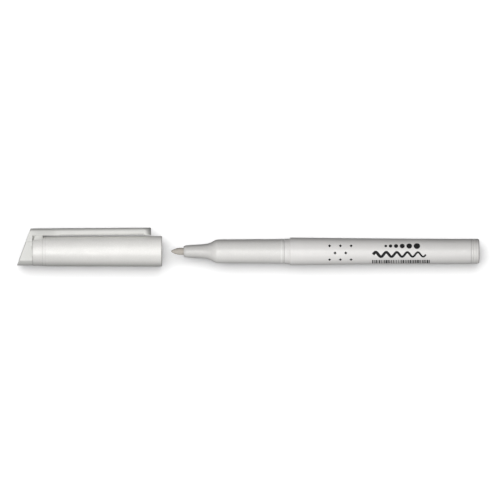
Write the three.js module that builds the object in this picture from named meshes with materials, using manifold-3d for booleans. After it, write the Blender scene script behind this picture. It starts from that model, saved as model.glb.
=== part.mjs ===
// Decorating marker with a valve-fed paint tank, its cap pulled off and lying in line with the nib.
// Millimetres, +Z up. The pen lies along X with its nib toward -X, and the cap's clip points to +Y.
// Until the last lines x is 0 at the step on the barrel where the cap stops, and y = z = 0 on the axis.
import * as THREE from 'three';
import { mergeVertices, toCreasedNormals } from 'three/addons/utils/BufferGeometryUtils.js';
import Module from 'manifold-3d';

// Fits between pieces
const GAP = 0.3; // left where two pieces touch
const CAP_SLIP = 0.15; // radial play between the pen's collar and the cap's bore
const PAINT_WAY = 0.6; // radial room where paint runs past the valve cage

// Nib, a rod of pressed fibre with a bullet point
const NIB_DIAMETER = 2.9;
const NIB_LENGTH = 34;
const NIB_POINT_LENGTH = 4;
const NIB_POINT_FULLNESS = 0.65;
const NIB_REACH = 5.2; // how far it stands out of the nose
const NIB_CHAMFER = 0.3;

// Front section, one moulding: nose, shoulder, grip, bead, and the spigot that goes into the barrel
const NOSE_LIP_WALL = 0.5;
const NOSE_LIP_LENGTH = 1.8;
const NOSE_WALL = 0.8;
const NOSE_LENGTH = 6.7;
const NOSE_FLARE = 0.25; // growth in radius along the nose
const SHOULDER_LENGTH = 7.7;
const GRIP_LENGTH = 25.5;
const GRIP_TAPER = 0.145; // loss in radius from the grip's back to its front
const GRIP_SETBACK = 0.125; // grip below the bead
const BEAD_WIDTH = 0.6;
const SECTION_LIP = 0.5; // turned down behind the bead
const SECTION_LIP_DEPTH = 0.12;
const SPIGOT_LENGTH = 6.6;
const SPIGOT_WALL = 0.65;
const SEAT_POCKET_DEPTH = 4.5;
const SEAT_LEDGE = 0.8; // step in radius that the valve seat rests on
const BORE_CONE_LENGTH = 1.5;

// Barrel, whose inside is the paint tank
const BARREL_LENGTH = 74.2; // from the cap's step to the seam of the tail plug
const COLLAR_LENGTH = 2.3;
const COLLAR_WALL = 0.6;
const STOP_STEP = 0.5; // radial height of the step that stops the cap
const TANK_SHOULDER = 0.65; // step in radius that the gasket rests on
const TAIL_WALL = 1.2;
const TAPER_POWER = 1.65; // the barrel narrows fastest just behind the step
const BARREL_EDGE = 0.15; // small radius on outer edges

// Tail plug
const PLUG_HEAD_LENGTH = 3.1;
const PLUG_ROUND = 1.1;
const PLUG_RING_PLACE = 0.5; // from the seam to the first moulded ring line
const PLUG_RING_WIDTH = 0.3;
const PLUG_RING_PITCH = 1.1; // from the first ring line to the second
const PLUG_RING_DEPTH = 0.1;
const PLUG_SPIGOT_LENGTH = 6;
const PLUG_WALL = 0.9;
const PLUG_FLOOR = 1.4;

// Valve: seat ring, stem with its nib socket, coil spring, slotted cage, tank gasket
const SEAT_THICKNESS = 1.5;
const SEAT_LAP = 0.6; // how far the stem's head reaches over the seat's hole
const ROD_DIAMETER = 1.8;
const ROD_CLEARANCE = 0.6; // radial room for paint round the rod in the seat
const SOCKET_DEPTH = 3.7;
const SOCKET_WALL = 0.5;
const SOCKET_FLOOR = 1.2;
const FIN_HEIGHT = 0.25;
const FIN_WIDTH = 0.6;
const FIN_COUNT = 4;
const HEAD_CONE_LENGTH = 1.2;
const HEAD_RIM = 0.5;
const SPRING_GUIDE_LENGTH = 4.5;
const CAGE_WALL = 0.6;
const CAGE_FLANGE = 0.8;
const CAGE_BASKET_LENGTH = 9.9;
const CAGE_FLOOR = 0.8;
const CAGE_HOLE_DIAMETER = 2.4;
const WINDOW_COUNT = 4;
const WINDOW_WIDTH = 2.2;
const WINDOW_BAR = 1.4; // solid band of the basket at each end of its windows
const PIN_DIAMETER = 2.2; // the stem's pin inside the spring
const SPRING_WIRE = 0.4;
const SPRING_TURNS = 6;
const GASKET_THICKNESS = 0.8;

// Mixing ball
const BALL_PLAY = 1.15; // radial room that the loose ball has in the tank

// Cap tube
const CAP_PULLED_OFF = 3.7; // from the nib's tip to the cap's mouth
const CAP_WALL = 0.95;
const CAP_DRAFT = 0.3; // the bore narrows this much in radius down to its cone
const CAP_BORE_CONE = 4;
const CAP_LEDGE_LENGTH = 3.9; // thick stretch of wall that carries the liner
const CAP_RIM_ROUND = 0.3;
const CAP_BAND_WALL = 0.7;
const CAP_BAND_STEP = 0.175; // the tube drops this much in radius to the band at its closed end
const CAP_BAND_CONE = 1.2;
const CAP_LIP_CLEARANCE = 0.7; // radial room between the liner and the ledge that it rests on
const CAP_END_ROOM = 4.5; // from the nib's tip, cap on, to the tube's closed end

// Cap liner, the inner cup that closes on the nose
const LINER_WALL = 0.6;
const LINER_FLANGE = 1;
const LINER_MOUTH_GAP = 0.5;
const LINER_NIB_ROOM = 1.4;
const LINER_PLAY = 0.4;

// Cap end, one moulding: plug with a slanted end, flared clip root, clip arm and the bead under its tip
const END_SPIGOT_WALL = 0.8;
const END_LENGTH_BOTTOM = 6.1;
const END_LENGTH_TOP = 1.8;
const END_WIDTH = 8.8; // across the two flats
const END_SETBACK = 0.1; // end below the tube's band
const END_WALL = 1.1;
const CLIP_WIDTH = 4.6;
const CLIP_THICKNESS = 2.85;
const CLIP_GAP = 0.4; // under the arm at its root
const CLIP_LIFT = 0.38; // the arm rises this much toward its tip
const CLIP_TIP_SETBACK = 4.5; // from the cap's mouth to the clip's tip
const CLIP_EDGE = 0.35;
const CLIP_TIP_BREAK = 0.5;
const CLIP_BEAD_LENGTH = 2.9;
const CLIP_FOOT_LENGTH = 4.5; // of the foot that stands in the tube's notch
const CLIP_FOOT_WIDTH = 7.2;
const CLIP_ROOT_WIDTH = 8.5; // where the clip is as broad as the end's flats
const CLIP_ROOT_LENGTH = 0.5; // of the broad part in front of the tube
const CLIP_ROOT_FLARE = 1; // length over which the root narrows to the foot
const CLIP_FLARE_LENGTH = 7; // length over which the foot narrows to the arm

// Fineness of the round forms
const ROUND = 48;
const ROUND_SMALL = 32;
const CURVE = 4;
const MERGE = 1e-4;
const CREASE = 0.6;

// Radii, from the nib outwards
const nibR = NIB_DIAMETER / 2;
const noseBoreR = nibR + GAP;
const noseR = noseBoreR + NOSE_WALL;
const neckR = noseR + NOSE_FLARE;
const socketR = nibR + GAP + SOCKET_WALL;
const chamberR = socketR + FIN_HEIGHT + GAP;
const pocketR = chamberR + SEAT_LEDGE;
const spigotR = pocketR + SPIGOT_WALL;
const counterboreR = spigotR + GAP;
const collarR = counterboreR + COLLAR_WALL;
const stepR = collarR + STOP_STEP;
const tankR = counterboreR - TANK_SHOULDER;
const tailR = tankR + TAIL_WALL;
const gripBackR = collarR - GRIP_SETBACK;
const gripFrontR = gripBackR - GRIP_TAPER;
const cageR = Math.min(pocketR - GAP, tankR - PAINT_WAY);
const basketR = cageR - CAGE_WALL;
const rodR = ROD_DIAMETER / 2;
const seatHoleR = rodR + ROD_CLEARANCE;
const headR = seatHoleR + SEAT_LAP;
const pinR = PIN_DIAMETER / 2;
const springR = pinR + GAP + SPRING_WIRE / 2;

// Places along the pen
const collarFront = -COLLAR_LENGTH;
const sectionBack = collarFront - GAP;
const beadBack = sectionBack - SECTION_LIP;
const gripBack = beadBack - BEAD_WIDTH;
const gripFront = gripBack - GRIP_LENGTH;
const noseBack = gripFront - SHOULDER_LENGTH;
const noseFront = noseBack - NOSE_LENGTH;
const nibTip = noseFront - NIB_REACH;
const nibBack = nibTip + NIB_LENGTH;
const spigotBack = sectionBack + SPIGOT_LENGTH;
const seatLedge = spigotBack - SEAT_POCKET_DEPTH;
const seatFront = seatLedge + GAP;
const seatBack = seatFront + SEAT_THICKNESS;
const cageFront = seatBack + GAP;
const flangeFront = spigotBack + GAP;
const flangeBack = flangeFront + CAGE_FLANGE;
const cageBack = flangeBack + CAGE_BASKET_LENGTH;
const gasketFront = flangeBack + GAP;
const gasketBack = gasketFront + GASKET_THICKNESS;
const tankFront = gasketBack + GAP;
const plugFront = BARREL_LENGTH + GAP;
const tailEnd = plugFront + PLUG_HEAD_LENGTH;
const plugSpigotFront = BARREL_LENGTH - PLUG_SPIGOT_LENGTH;
const headFront = seatBack - HEAD_CONE_LENGTH / 2 + GAP;
const headBack = headFront + HEAD_CONE_LENGTH + HEAD_RIM;

// The cap's radii, and its depths measured from its mouth
const capBoreR = collarR + CAP_SLIP;
const capMouthR = capBoreR + CAP_WALL;
const linerBoreR = neckR + GAP;
const linerR = linerBoreR + LINER_WALL;
const endSpigotBoreR = linerR + LINER_PLAY;
const endSpigotR = endSpigotBoreR + END_SPIGOT_WALL;
const capSocketR = endSpigotR + GAP;
const capBandR = capSocketR + CAP_BAND_WALL;
const capTubeR = capBandR + CAP_BAND_STEP;
const capLipR = linerR + CAP_LIP_CLEARANCE;
const endR = capBandR - END_SETBACK;
const nibDepth = -nibTip - GAP;
const linerMouth = -noseBack - GAP + LINER_MOUTH_GAP;
const linerFloor = nibDepth + LINER_NIB_ROOM;
const linerEnd = linerFloor + LINER_WALL;
const tubeEnd = nibDepth + CAP_END_ROOM;
const endFront = tubeEnd + GAP;
const linerFlangeBack = linerEnd - LINER_FLANGE - GAP;
const linerFlangeFront = linerFlangeBack - LINER_FLANGE;
const capLedge = linerFlangeFront - GAP;
const capConeBack = capLedge - CAP_LEDGE_LENGTH;
const capConeFront = capConeBack - CAP_BORE_CONE;
const endSpigotTip = linerFlangeBack + GAP;
const footFront = -endFront + CLIP_FOOT_LENGTH;
const clipUnder = capTubeR + CLIP_GAP;
const clipOuter = clipUnder + CLIP_THICKNESS;
const capMouth = nibTip - CAP_PULLED_OFF;

const wasm = await Module();
wasm.setup();

// A closed geometry as a solid that can be joined and cut
function solid(geometry) {
  const bare = geometry.clone();
  bare.deleteAttribute('normal');
  bare.deleteAttribute('uv');
  const merged = mergeVertices(bare, MERGE);
  const vertProperties = new Float32Array(merged.attributes.position.array);
  const triVerts = new Uint32Array(merged.index.array);
  return new wasm.Manifold(new wasm.Mesh({ numProp: 3, vertProperties, triVerts }));
}

// A solid as a geometry again
function geometryOf(made) {
  const { vertProperties, triVerts } = made.getMesh();
  const geometry = new THREE.BufferGeometry();
  geometry.setAttribute('position', new THREE.BufferAttribute(vertProperties, 3));
  geometry.setIndex(new THREE.BufferAttribute(triVerts, 1));
  return geometry;
}

// Turns an outline, drawn as place along the axis and radius, round the X axis
function turned(outline, steps = ROUND) {
  const points = outline.getPoints(CURVE).map((p) => new THREE.Vector2(p.y, p.x));
  if (THREE.ShapeUtils.area(points) < 0) points.reverse();
  return new THREE.LatheGeometry(points, steps).rotateZ(-Math.PI / 2);
}

// A box from its low corner to its high corner
function box(low, high) {
  const size = high.map((value, i) => value - low[i]);
  const middle = high.map((value, i) => (value + low[i]) / 2);
  return new THREE.BoxGeometry(...size).translate(...middle);
}

// A ring of rectangular section between two places and two radii
function ring(front, back, innerR, outerR, steps = ROUND_SMALL) {
  const outline = new THREE.Path();
  outline.moveTo(front, innerR);
  outline.lineTo(front, outerR);
  outline.lineTo(back, outerR);
  outline.lineTo(back, innerR);
  outline.closePath();
  return turned(outline, steps);
}

// Radius of the barrel's outside at a place behind its step
function barrelRadius(x) {
  return tailR + (stepR - tailR) * (1 - x / BARREL_LENGTH) ** TAPER_POWER;
}

// Barrel: collar and step in front, a long curved taper, and the tank's bore with its counterbore
function barrel() {
  const taperSteps = 9;
  const outline = new THREE.Path();
  outline.moveTo(collarFront, counterboreR);
  outline.lineTo(collarFront, collarR);
  outline.lineTo(0, collarR);
  outline.lineTo(0, stepR - BARREL_EDGE);
  outline.quadraticCurveTo(0, stepR, BARREL_EDGE, barrelRadius(BARREL_EDGE));
  for (let i = 1; i <= taperSteps; i += 1) {
    const x = (BARREL_LENGTH * i) / taperSteps;
    outline.lineTo(x, barrelRadius(x));
  }
  outline.lineTo(BARREL_LENGTH, tankR);
  outline.lineTo(tankFront, tankR);
  outline.lineTo(tankFront, counterboreR);
  outline.closePath();
  return turned(outline);
}

// Tail plug: a rounded head flush with the barrel, and a hollow spigot in the tank's bore
function tailPlug() {
  const spigot = tankR - GAP;
  const firstRing = plugFront + PLUG_RING_PLACE;
  const outline = new THREE.Path();
  outline.moveTo(tailEnd, 0);
  outline.lineTo(tailEnd, tailR - PLUG_ROUND);
  outline.quadraticCurveTo(tailEnd, tailR, tailEnd - PLUG_ROUND, tailR);
  [firstRing + PLUG_RING_PITCH, firstRing].forEach((place) => {
    outline.lineTo(place + PLUG_RING_WIDTH, tailR);
    outline.lineTo(place + PLUG_RING_WIDTH / 2, tailR - PLUG_RING_DEPTH);
    outline.lineTo(place, tailR);
  });
  outline.lineTo(plugFront, tailR);
  outline.lineTo(plugFront, spigot);
  outline.lineTo(plugSpigotFront + BARREL_EDGE, spigot);
  outline.lineTo(plugSpigotFront, spigot - BARREL_EDGE);
  outline.lineTo(plugSpigotFront, spigot - PLUG_WALL);
  outline.lineTo(plugFront + PLUG_FLOOR - BARREL_EDGE, spigot - PLUG_WALL);
  outline.lineTo(plugFront + PLUG_FLOOR, spigot - PLUG_WALL - BARREL_EDGE);
  outline.lineTo(plugFront + PLUG_FLOOR, 0);
  return turned(outline);
}

// Front section: slim nose, hollow-curved shoulder, long grip, bead, and the spigot behind them
function frontSection() {
  const neckCurve = noseBack + SHOULDER_LENGTH * 0.5;
  const neckEnd = noseBack + SHOULDER_LENGTH * 0.65;
  const shoulderStart = noseBack + SHOULDER_LENGTH * 0.78;
  const rise = gripFrontR - neckR;
  const boreBack = noseBack + SHOULDER_LENGTH * 0.45;
  const outline = new THREE.Path();
  outline.moveTo(noseFront, noseBoreR);
  outline.lineTo(noseFront, noseBoreR + NOSE_LIP_WALL);
  outline.quadraticCurveTo(noseFront + NOSE_LIP_LENGTH / 4, noseR, noseFront + NOSE_LIP_LENGTH, noseR);
  outline.lineTo(noseBack, neckR);
  outline.quadraticCurveTo(neckCurve, neckR + rise * 0.12, neckEnd, neckR + rise * 0.54);
  outline.lineTo(shoulderStart, neckR + rise * 0.85);
  outline.quadraticCurveTo(gripFront - SHOULDER_LENGTH * 0.14, gripFrontR, gripFront, gripFrontR);
  outline.lineTo(gripBack, gripBackR);
  outline.lineTo(gripBack, collarR - BARREL_EDGE);
  outline.quadraticCurveTo(gripBack, collarR, gripBack + BEAD_WIDTH / 2, collarR);
  outline.quadraticCurveTo(beadBack, collarR, beadBack, collarR - SECTION_LIP_DEPTH);
  outline.lineTo(sectionBack, collarR - SECTION_LIP_DEPTH);
  outline.lineTo(sectionBack, spigotR);
  outline.lineTo(spigotBack - BARREL_EDGE, spigotR);
  outline.lineTo(spigotBack, spigotR - BARREL_EDGE);
  outline.lineTo(spigotBack, pocketR);
  outline.lineTo(seatLedge, pocketR);
  outline.lineTo(seatLedge, chamberR);
  outline.lineTo(boreBack + BORE_CONE_LENGTH, chamberR);
  outline.lineTo(boreBack, noseBoreR);
  outline.closePath();
  return turned(outline);
}

// Nib: a fibre rod whose point follows a power of a sine, fuller than a cone and slimmer than a ball
function nib() {
  const pointSteps = 8;
  const outline = new THREE.Path();
  outline.moveTo(nibTip, 0);
  for (let i = 1; i <= pointSteps; i += 1) {
    const along = (i / pointSteps) ** 1.5;
    const radius = nibR * Math.sin((Math.PI / 2) * along) ** NIB_POINT_FULLNESS;
    outline.lineTo(nibTip + NIB_POINT_LENGTH * along, radius);
  }
  outline.lineTo(nibBack - NIB_CHAMFER, nibR);
  outline.lineTo(nibBack, nibR - NIB_CHAMFER);
  outline.lineTo(nibBack, 0);
  return turned(outline, ROUND_SMALL);
}

// Valve seat: a soft ring whose hole opens as a cone toward the tank
function valveSeat() {
  const outline = new THREE.Path();
  outline.moveTo(seatFront, seatHoleR);
  outline.lineTo(seatFront, pocketR - GAP);
  outline.lineTo(seatBack, pocketR - GAP);
  outline.lineTo(seatBack, seatHoleR + SEAT_LAP / 2);
  outline.lineTo(seatBack - HEAD_CONE_LENGTH / 2, seatHoleR);
  outline.closePath();
  return turned(outline, ROUND_SMALL);
}

// Valve stem: socket with guide fins round the nib's back, thin rod, cone that closes the seat,
// and the pin inside the spring
function valveStem() {
  const socketFloor = nibBack + GAP;
  const socketFront = socketFloor - SOCKET_DEPTH;
  const socketBack = socketFloor + SOCKET_FLOOR;
  const pinBack = headBack + SPRING_GUIDE_LENGTH;
  const outline = new THREE.Path();
  outline.moveTo(socketFloor, 0);
  outline.lineTo(socketFloor, nibR + GAP);
  outline.lineTo(socketFront, nibR + GAP);
  outline.lineTo(socketFront, socketR);
  outline.lineTo(socketBack - SOCKET_WALL, socketR);
  outline.lineTo(socketBack, rodR);
  outline.lineTo(headFront, rodR);
  outline.lineTo(headFront + HEAD_CONE_LENGTH, headR);
  outline.lineTo(headBack, headR);
  outline.lineTo(headBack, pinR);
  outline.lineTo(pinBack - SPRING_WIRE, pinR);
  outline.lineTo(pinBack, pinR - SPRING_WIRE);
  outline.lineTo(pinBack, 0);
  let stem = solid(turned(outline, ROUND_SMALL));
  for (let i = 0; i < FIN_COUNT; i += 1) {
    const low = [socketFront, socketR - SOCKET_WALL / 2, -FIN_WIDTH / 2];
    const high = [socketBack - SOCKET_WALL, socketR + FIN_HEIGHT, FIN_WIDTH / 2];
    const fin = box(low, high).rotateX((2 * Math.PI * i) / FIN_COUNT);
    stem = stem.add(solid(fin));
  }
  return geometryOf(stem);
}

// Valve cage: sleeve in the section's pocket, flange under the barrel's ledge, and a slotted basket
// that reaches into the tank and holds the spring
function valveCage() {
  const outline = new THREE.Path();
  outline.moveTo(cageFront, basketR);
  outline.lineTo(cageFront, cageR);
  outline.lineTo(flangeFront, cageR);
  outline.lineTo(flangeFront, spigotR);
  outline.lineTo(flangeBack, spigotR);
  outline.lineTo(flangeBack, cageR);
  outline.lineTo(cageBack, cageR);
  outline.lineTo(cageBack, CAGE_HOLE_DIAMETER / 2);
  outline.lineTo(cageBack - CAGE_FLOOR, CAGE_HOLE_DIAMETER / 2);
  outline.lineTo(cageBack - CAGE_FLOOR, basketR);
  outline.closePath();
  let cage = solid(turned(outline, ROUND_SMALL));
  const windowFront = gasketBack;
  const windowBack = cageBack - WINDOW_BAR;
  for (let i = 0; i < WINDOW_COUNT; i += 1) {
    const low = [windowFront, basketR / 2, -WINDOW_WIDTH / 2];
    const high = [windowBack, cageR + CAGE_WALL, WINDOW_WIDTH / 2];
    const opening = box(low, high).rotateX((2 * Math.PI * (i + 0.5)) / WINDOW_COUNT);
    cage = cage.subtract(solid(opening));
  }
  return geometryOf(cage);
}

// Valve spring: one unbroken wire wound round the stem's pin, its ends straight for one wire's width
function valveSpring() {
  const stepsPerTurn = 8;
  const sides = 5;
  const front = headBack + GAP + SPRING_WIRE / 2;
  const back = cageBack - CAGE_FLOOR - GAP - SPRING_WIRE / 2;
  const pitch = (back - front) / SPRING_TURNS;
  const steps = SPRING_TURNS * stepsPerTurn;
  const points = [];
  for (let i = 0; i <= steps; i += 1) {
    const angle = (2 * Math.PI * i) / stepsPerTurn;
    points.push(new THREE.Vector3(
      front + (pitch * i) / stepsPerTurn,
      springR * Math.cos(angle),
      springR * Math.sin(angle),
    ));
  }
  const outward = (from, to) => to.clone().sub(from).setX(0).setLength(SPRING_WIRE).add(to);
  points.unshift(outward(points[1], points[0]));
  points.push(outward(points.at(-2), points.at(-1)));
  let leastGap = Infinity;
  points.forEach((p, i) => points.slice(i + sides).forEach((q) => {
    leastGap = Math.min(leastGap, p.distanceTo(q) - SPRING_WIRE);
  }));
  console.log(`valve_spring: least gap to itself ${leastGap.toFixed(2)} mm`);
  return tube(points, SPRING_WIRE / 2, sides);
}

// A closed tube through points, its section kept square to the path
function tube(points, radius, sides) {
  const position = [];
  const index = [];
  points.forEach((point, i) => {
    const along = points[Math.min(i + 1, points.length - 1)].clone()
      .sub(points[Math.max(i - 1, 0)]).normalize();
    const out = new THREE.Vector3(0, point.y, point.z).normalize();
    const side = new THREE.Vector3().crossVectors(along, out).normalize();
    const up = new THREE.Vector3().crossVectors(side, along);
    for (let k = 0; k < sides; k += 1) {
      const angle = (2 * Math.PI * k) / sides;
      const place = point.clone()
        .addScaledVector(up, radius * Math.cos(angle))
        .addScaledVector(side, radius * Math.sin(angle));
      position.push(place.x, place.y, place.z);
    }
  });
  const last = (points.length - 1) * sides;
  for (let ringStart = 0; ringStart < last; ringStart += sides) {
    for (let k = 0; k < sides; k += 1) {
      const next = (k + 1) % sides;
      index.push(ringStart + k, ringStart + next, ringStart + sides + k);
      index.push(ringStart + next, ringStart + sides + next, ringStart + sides + k);
    }
  }
  for (let k = 1; k < sides - 1; k += 1) {
    index.push(0, k + 1, k);
    index.push(last, last + k, last + k + 1);
  }
  const geometry = new THREE.BufferGeometry();
  geometry.setAttribute('position', new THREE.Float32BufferAttribute(position, 3));
  geometry.setIndex(index);
  return geometry;
}

// Mixing ball: loose in the tank, lying on its wall at the tail
function mixingBall() {
  const radius = tankR - BALL_PLAY;
  const lowest = radius + GAP - tankR;
  return new THREE.SphereGeometry(radius, 20, 12).translate(plugSpigotFront - GAP - radius, 0, lowest);
}

// Cap tube: rounded mouth, drafted bore, ledge and socket for the liner and the end, notch for the clip
function capTube() {
  const bandFront = capLedge;
  const outline = new THREE.Path();
  outline.moveTo(-CAP_RIM_ROUND, capBoreR);
  outline.quadraticCurveTo(0, capBoreR, 0, capBoreR + CAP_RIM_ROUND);
  outline.lineTo(0, capMouthR - CAP_RIM_ROUND);
  outline.quadraticCurveTo(0, capMouthR, -CAP_RIM_ROUND, capMouthR);
  outline.lineTo(-bandFront, capTubeR);
  outline.lineTo(-bandFront - CAP_BAND_CONE, capBandR);
  outline.lineTo(-tubeEnd + BARREL_EDGE, capBandR);
  outline.lineTo(-tubeEnd, capBandR - BARREL_EDGE);
  outline.lineTo(-tubeEnd, capSocketR);
  outline.lineTo(-capLedge, capSocketR);
  outline.lineTo(-capLedge, capLipR);
  outline.lineTo(-capConeBack, capLipR);
  outline.lineTo(-capConeFront, capBoreR - CAP_DRAFT);
  outline.closePath();
  const halfNotch = CLIP_FOOT_WIDTH / 2 + GAP;
  const low = [-tubeEnd - GAP, capBandR / 2, -halfNotch];
  const high = [footFront + GAP, capMouthR, halfNotch];
  return geometryOf(solid(turned(outline)).subtract(solid(box(low, high))));
}

// Cap liner: a thin cup over the nib and nose, held by its flange between the tube's ledge and the end
function capLiner() {
  const outline = new THREE.Path();
  outline.moveTo(-linerEnd, 0);
  outline.lineTo(-linerEnd, linerR);
  outline.lineTo(-linerFlangeBack, linerR);
  outline.lineTo(-linerFlangeBack, endSpigotR);
  outline.lineTo(-linerFlangeFront, endSpigotR);
  outline.lineTo(-linerFlangeFront, linerR);
  outline.lineTo(-linerMouth, linerR);
  outline.lineTo(-linerMouth, linerBoreR + BARREL_EDGE);
  outline.lineTo(-linerMouth - BARREL_EDGE, linerBoreR);
  outline.lineTo(-linerFloor, linerBoreR);
  outline.lineTo(-linerFloor, 0);
  return turned(outline, ROUND_SMALL);
}

// A flat plate drawn from the side, its thickness centred on the axis, with broken edges
function plate(points, width, edge) {
  const shape = new THREE.Shape(points.map(([x, y]) => new THREE.Vector2(x, y)));
  const depth = width - 2 * edge;
  const options = { depth, bevelThickness: edge, bevelSize: edge, bevelOffset: -edge, bevelSegments: 2 };
  return new THREE.ExtrudeGeometry(shape, options).translate(0, 0, -depth / 2);
}

// Cap end: a plug with two flats and a slanted end, hollow behind. The clip grows out of its top as
// broad as the flats, stands on a foot in the tube's notch, and flares in to the arm over the tube
function capEnd() {
  const reach = 2 * (clipOuter + END_LENGTH_BOTTOM);
  const slope = (END_LENGTH_BOTTOM - END_LENGTH_TOP) / (2 * endR);
  const slantAt = (y) => -endFront - END_LENGTH_BOTTOM + (y + endR) * slope;
  const clipTip = -CLIP_TIP_SETBACK;
  const clipTop = clipOuter + CLIP_LIFT;
  const beadLow = capMouthR + GAP;

  const flats = box([-endFront - reach, -endR, -END_WIDTH / 2], [-endFront, endR, END_WIDTH / 2]);
  const block = solid(ring(-endFront - END_LENGTH_BOTTOM, -endFront, 0, endR, ROUND)).intersect(solid(flats));
  const spigot = solid(ring(-endFront - END_WALL, -endSpigotTip, 0, endSpigotR, ROUND));

  const halfHollow = END_WIDTH / 2 - END_WALL;
  const hollowEnd = -endFront - END_LENGTH_BOTTOM;
  const hollowBox = box([hollowEnd, -endR, -halfHollow], [-endFront, endR, halfHollow]);
  const hollow = solid(ring(hollowEnd, -endSpigotTip + GAP, 0, endSpigotBoreR, ROUND));
  const behindSlant = solid(slantedBlock(slantAt, reach, END_WALL));
  const deepHollow = hollow.intersect(solid(hollowBox)).subtract(behindSlant);
  const spigotBore = solid(ring(-endFront, -endSpigotTip + GAP, 0, endSpigotBoreR, ROUND));

  const arm = solid(plate([
    [hollowEnd, clipOuter],
    [hollowEnd, endR / 2],
    [-endFront, endR / 2],
    [-endFront, clipUnder],
    [clipTip - CLIP_BEAD_LENGTH, clipUnder + CLIP_LIFT],
    [clipTip - CLIP_BEAD_LENGTH + CLIP_LIFT, beadLow],
    [clipTip, beadLow],
    [clipTip, clipTop - CLIP_TIP_BREAK],
    [clipTip - CLIP_TIP_BREAK, clipTop],
  ], CLIP_WIDTH, CLIP_EDGE));
  const tipPlan = new THREE.Shape();
  tipPlan.moveTo(-endFront - reach, -CLIP_WIDTH / 2);
  tipPlan.lineTo(clipTip - CLIP_WIDTH / 2, -CLIP_WIDTH / 2);
  tipPlan.absarc(clipTip - CLIP_WIDTH / 2, 0, CLIP_WIDTH / 2, -Math.PI / 2, Math.PI / 2, false);
  tipPlan.lineTo(-endFront - reach, CLIP_WIDTH / 2);
  const clip = arm.intersect(solid(upright(tipPlan, 2 * clipTop)));

  const rootLow = Math.sqrt(endR ** 2 - (CLIP_ROOT_WIDTH / 2) ** 2);
  const flareFront = footFront + CLIP_FLARE_LENGTH;
  const rootPlate = solid(plate([
    [hollowEnd, clipOuter],
    [hollowEnd, rootLow],
    [-endFront, rootLow],
    [-endFront, clipUnder],
    [flareFront, clipUnder],
    [flareFront, clipOuter],
  ], CLIP_ROOT_WIDTH, CLIP_EDGE));
  const side = new THREE.Path();
  side.moveTo(-endFront - reach, CLIP_ROOT_WIDTH / 2);
  side.lineTo(-endFront - CLIP_ROOT_LENGTH, CLIP_ROOT_WIDTH / 2);
  narrow(side, CLIP_ROOT_FLARE, CLIP_FOOT_WIDTH / 2);
  side.lineTo(footFront, CLIP_FOOT_WIDTH / 2);
  narrow(side, CLIP_FLARE_LENGTH, CLIP_WIDTH / 2);
  const oneSide = side.getPoints(CURVE);
  const otherSide = oneSide.map((p) => new THREE.Vector2(p.x, -p.y)).reverse();
  const rootPlan = new THREE.Shape([...oneSide, ...otherSide]);
  const root = rootPlate.intersect(solid(upright(rootPlan, 2 * clipTop)));

  const footRing = new THREE.Path();
  footRing.moveTo(-endFront - END_WALL / 2, endSpigotR - END_SPIGOT_WALL / 2);
  footRing.lineTo(-endFront - END_WALL / 2, clipOuter);
  footRing.lineTo(footFront, clipOuter);
  footRing.lineTo(footFront, capSocketR);
  footRing.lineTo(-endSpigotTip, capSocketR);
  footRing.lineTo(-endSpigotTip, endSpigotR - END_SPIGOT_WALL / 2);
  footRing.closePath();
  const footLow = [hollowEnd, 0, -CLIP_FOOT_WIDTH / 2];
  const footHigh = [footFront, clipUnder + CLIP_EDGE, CLIP_FOOT_WIDTH / 2];
  const foot = solid(turned(footRing)).intersect(solid(box(footLow, footHigh)));

  const whole = block.add(spigot).add(clip).add(root).add(foot).subtract(deepHollow).subtract(spigotBore);
  return geometryOf(whole.subtract(solid(slantedBlock(slantAt, reach, 0))));
}

// Brings a path sideways to that half width over that length, in a smooth bend
function narrow(path, length, halfWidth) {
  const { x, y } = path.currentPoint;
  path.bezierCurveTo(x + length / 2, y, x + length / 2, halfWidth, x + length, halfWidth);
}

// A block standing up from the axis with that plan
function upright(plan, depth) {
  const block = new THREE.ExtrudeGeometry(plan, { depth, bevelEnabled: false, curveSegments: 2 * CURVE });
  return block.rotateX(-Math.PI / 2);
}

// All that lies beyond the slanted end, or less by a wall measured along the axis
function slantedBlock(slantAt, reach, wall) {
  const shape = new THREE.Shape();
  shape.moveTo(slantAt(-reach) + wall, -reach);
  shape.lineTo(slantAt(reach) + wall, reach);
  shape.lineTo(-endFront - 2 * reach, reach);
  shape.lineTo(-endFront - 2 * reach, -reach);
  return new THREE.ExtrudeGeometry(shape, { depth: 2 * reach, bevelEnabled: false }).translate(0, 0, -reach);
}

// Materials
const finish = (color, roughness, metalness = 0) => (
  new THREE.MeshStandardMaterial({ color, roughness, metalness })
);
const pearlSilver = finish(0xd9d8d5, 0.35, 0.25);
const greySilver = finish(0xcfcfc9, 0.4, 0.2);
const fibre = finish(0xb5b0a9, 0.9);
const softSeal = finish(0x3c3c3e, 0.8);
const naturalPlastic = finish(0xe8e8e2, 0.5);
const springSteel = finish(0xb9bcc0, 0.3, 1);

function piece(name, geometry, material) {
  const made = new THREE.Mesh(toCreasedNormals(geometry, CREASE), material);
  made.name = name;
  return made;
}

// Put together: the pen, and the cap pulled off in front of it
const pen = new THREE.Group();
pen.add(
  piece('barrel', barrel(), pearlSilver),
  piece('tail_plug', tailPlug(), pearlSilver),
  piece('front_section', frontSection(), pearlSilver),
  piece('nib', nib(), fibre),
  piece('valve_seat', valveSeat(), softSeal),
  piece('valve_stem', valveStem(), naturalPlastic),
  piece('valve_spring', valveSpring(), springSteel),
  piece('valve_cage', valveCage(), naturalPlastic),
  piece('tank_gasket', ring(gasketFront, gasketBack, cageR + GAP, spigotR), softSeal),
  piece('mixing_ball', mixingBall(), springSteel),
);

const cap = new THREE.Group();
cap.position.x = capMouth;
cap.add(
  piece('cap_tube', capTube(), pearlSilver),
  piece('cap_end_clip', capEnd(), greySilver),
  piece('cap_liner', capLiner(), naturalPlastic),
);

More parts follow.
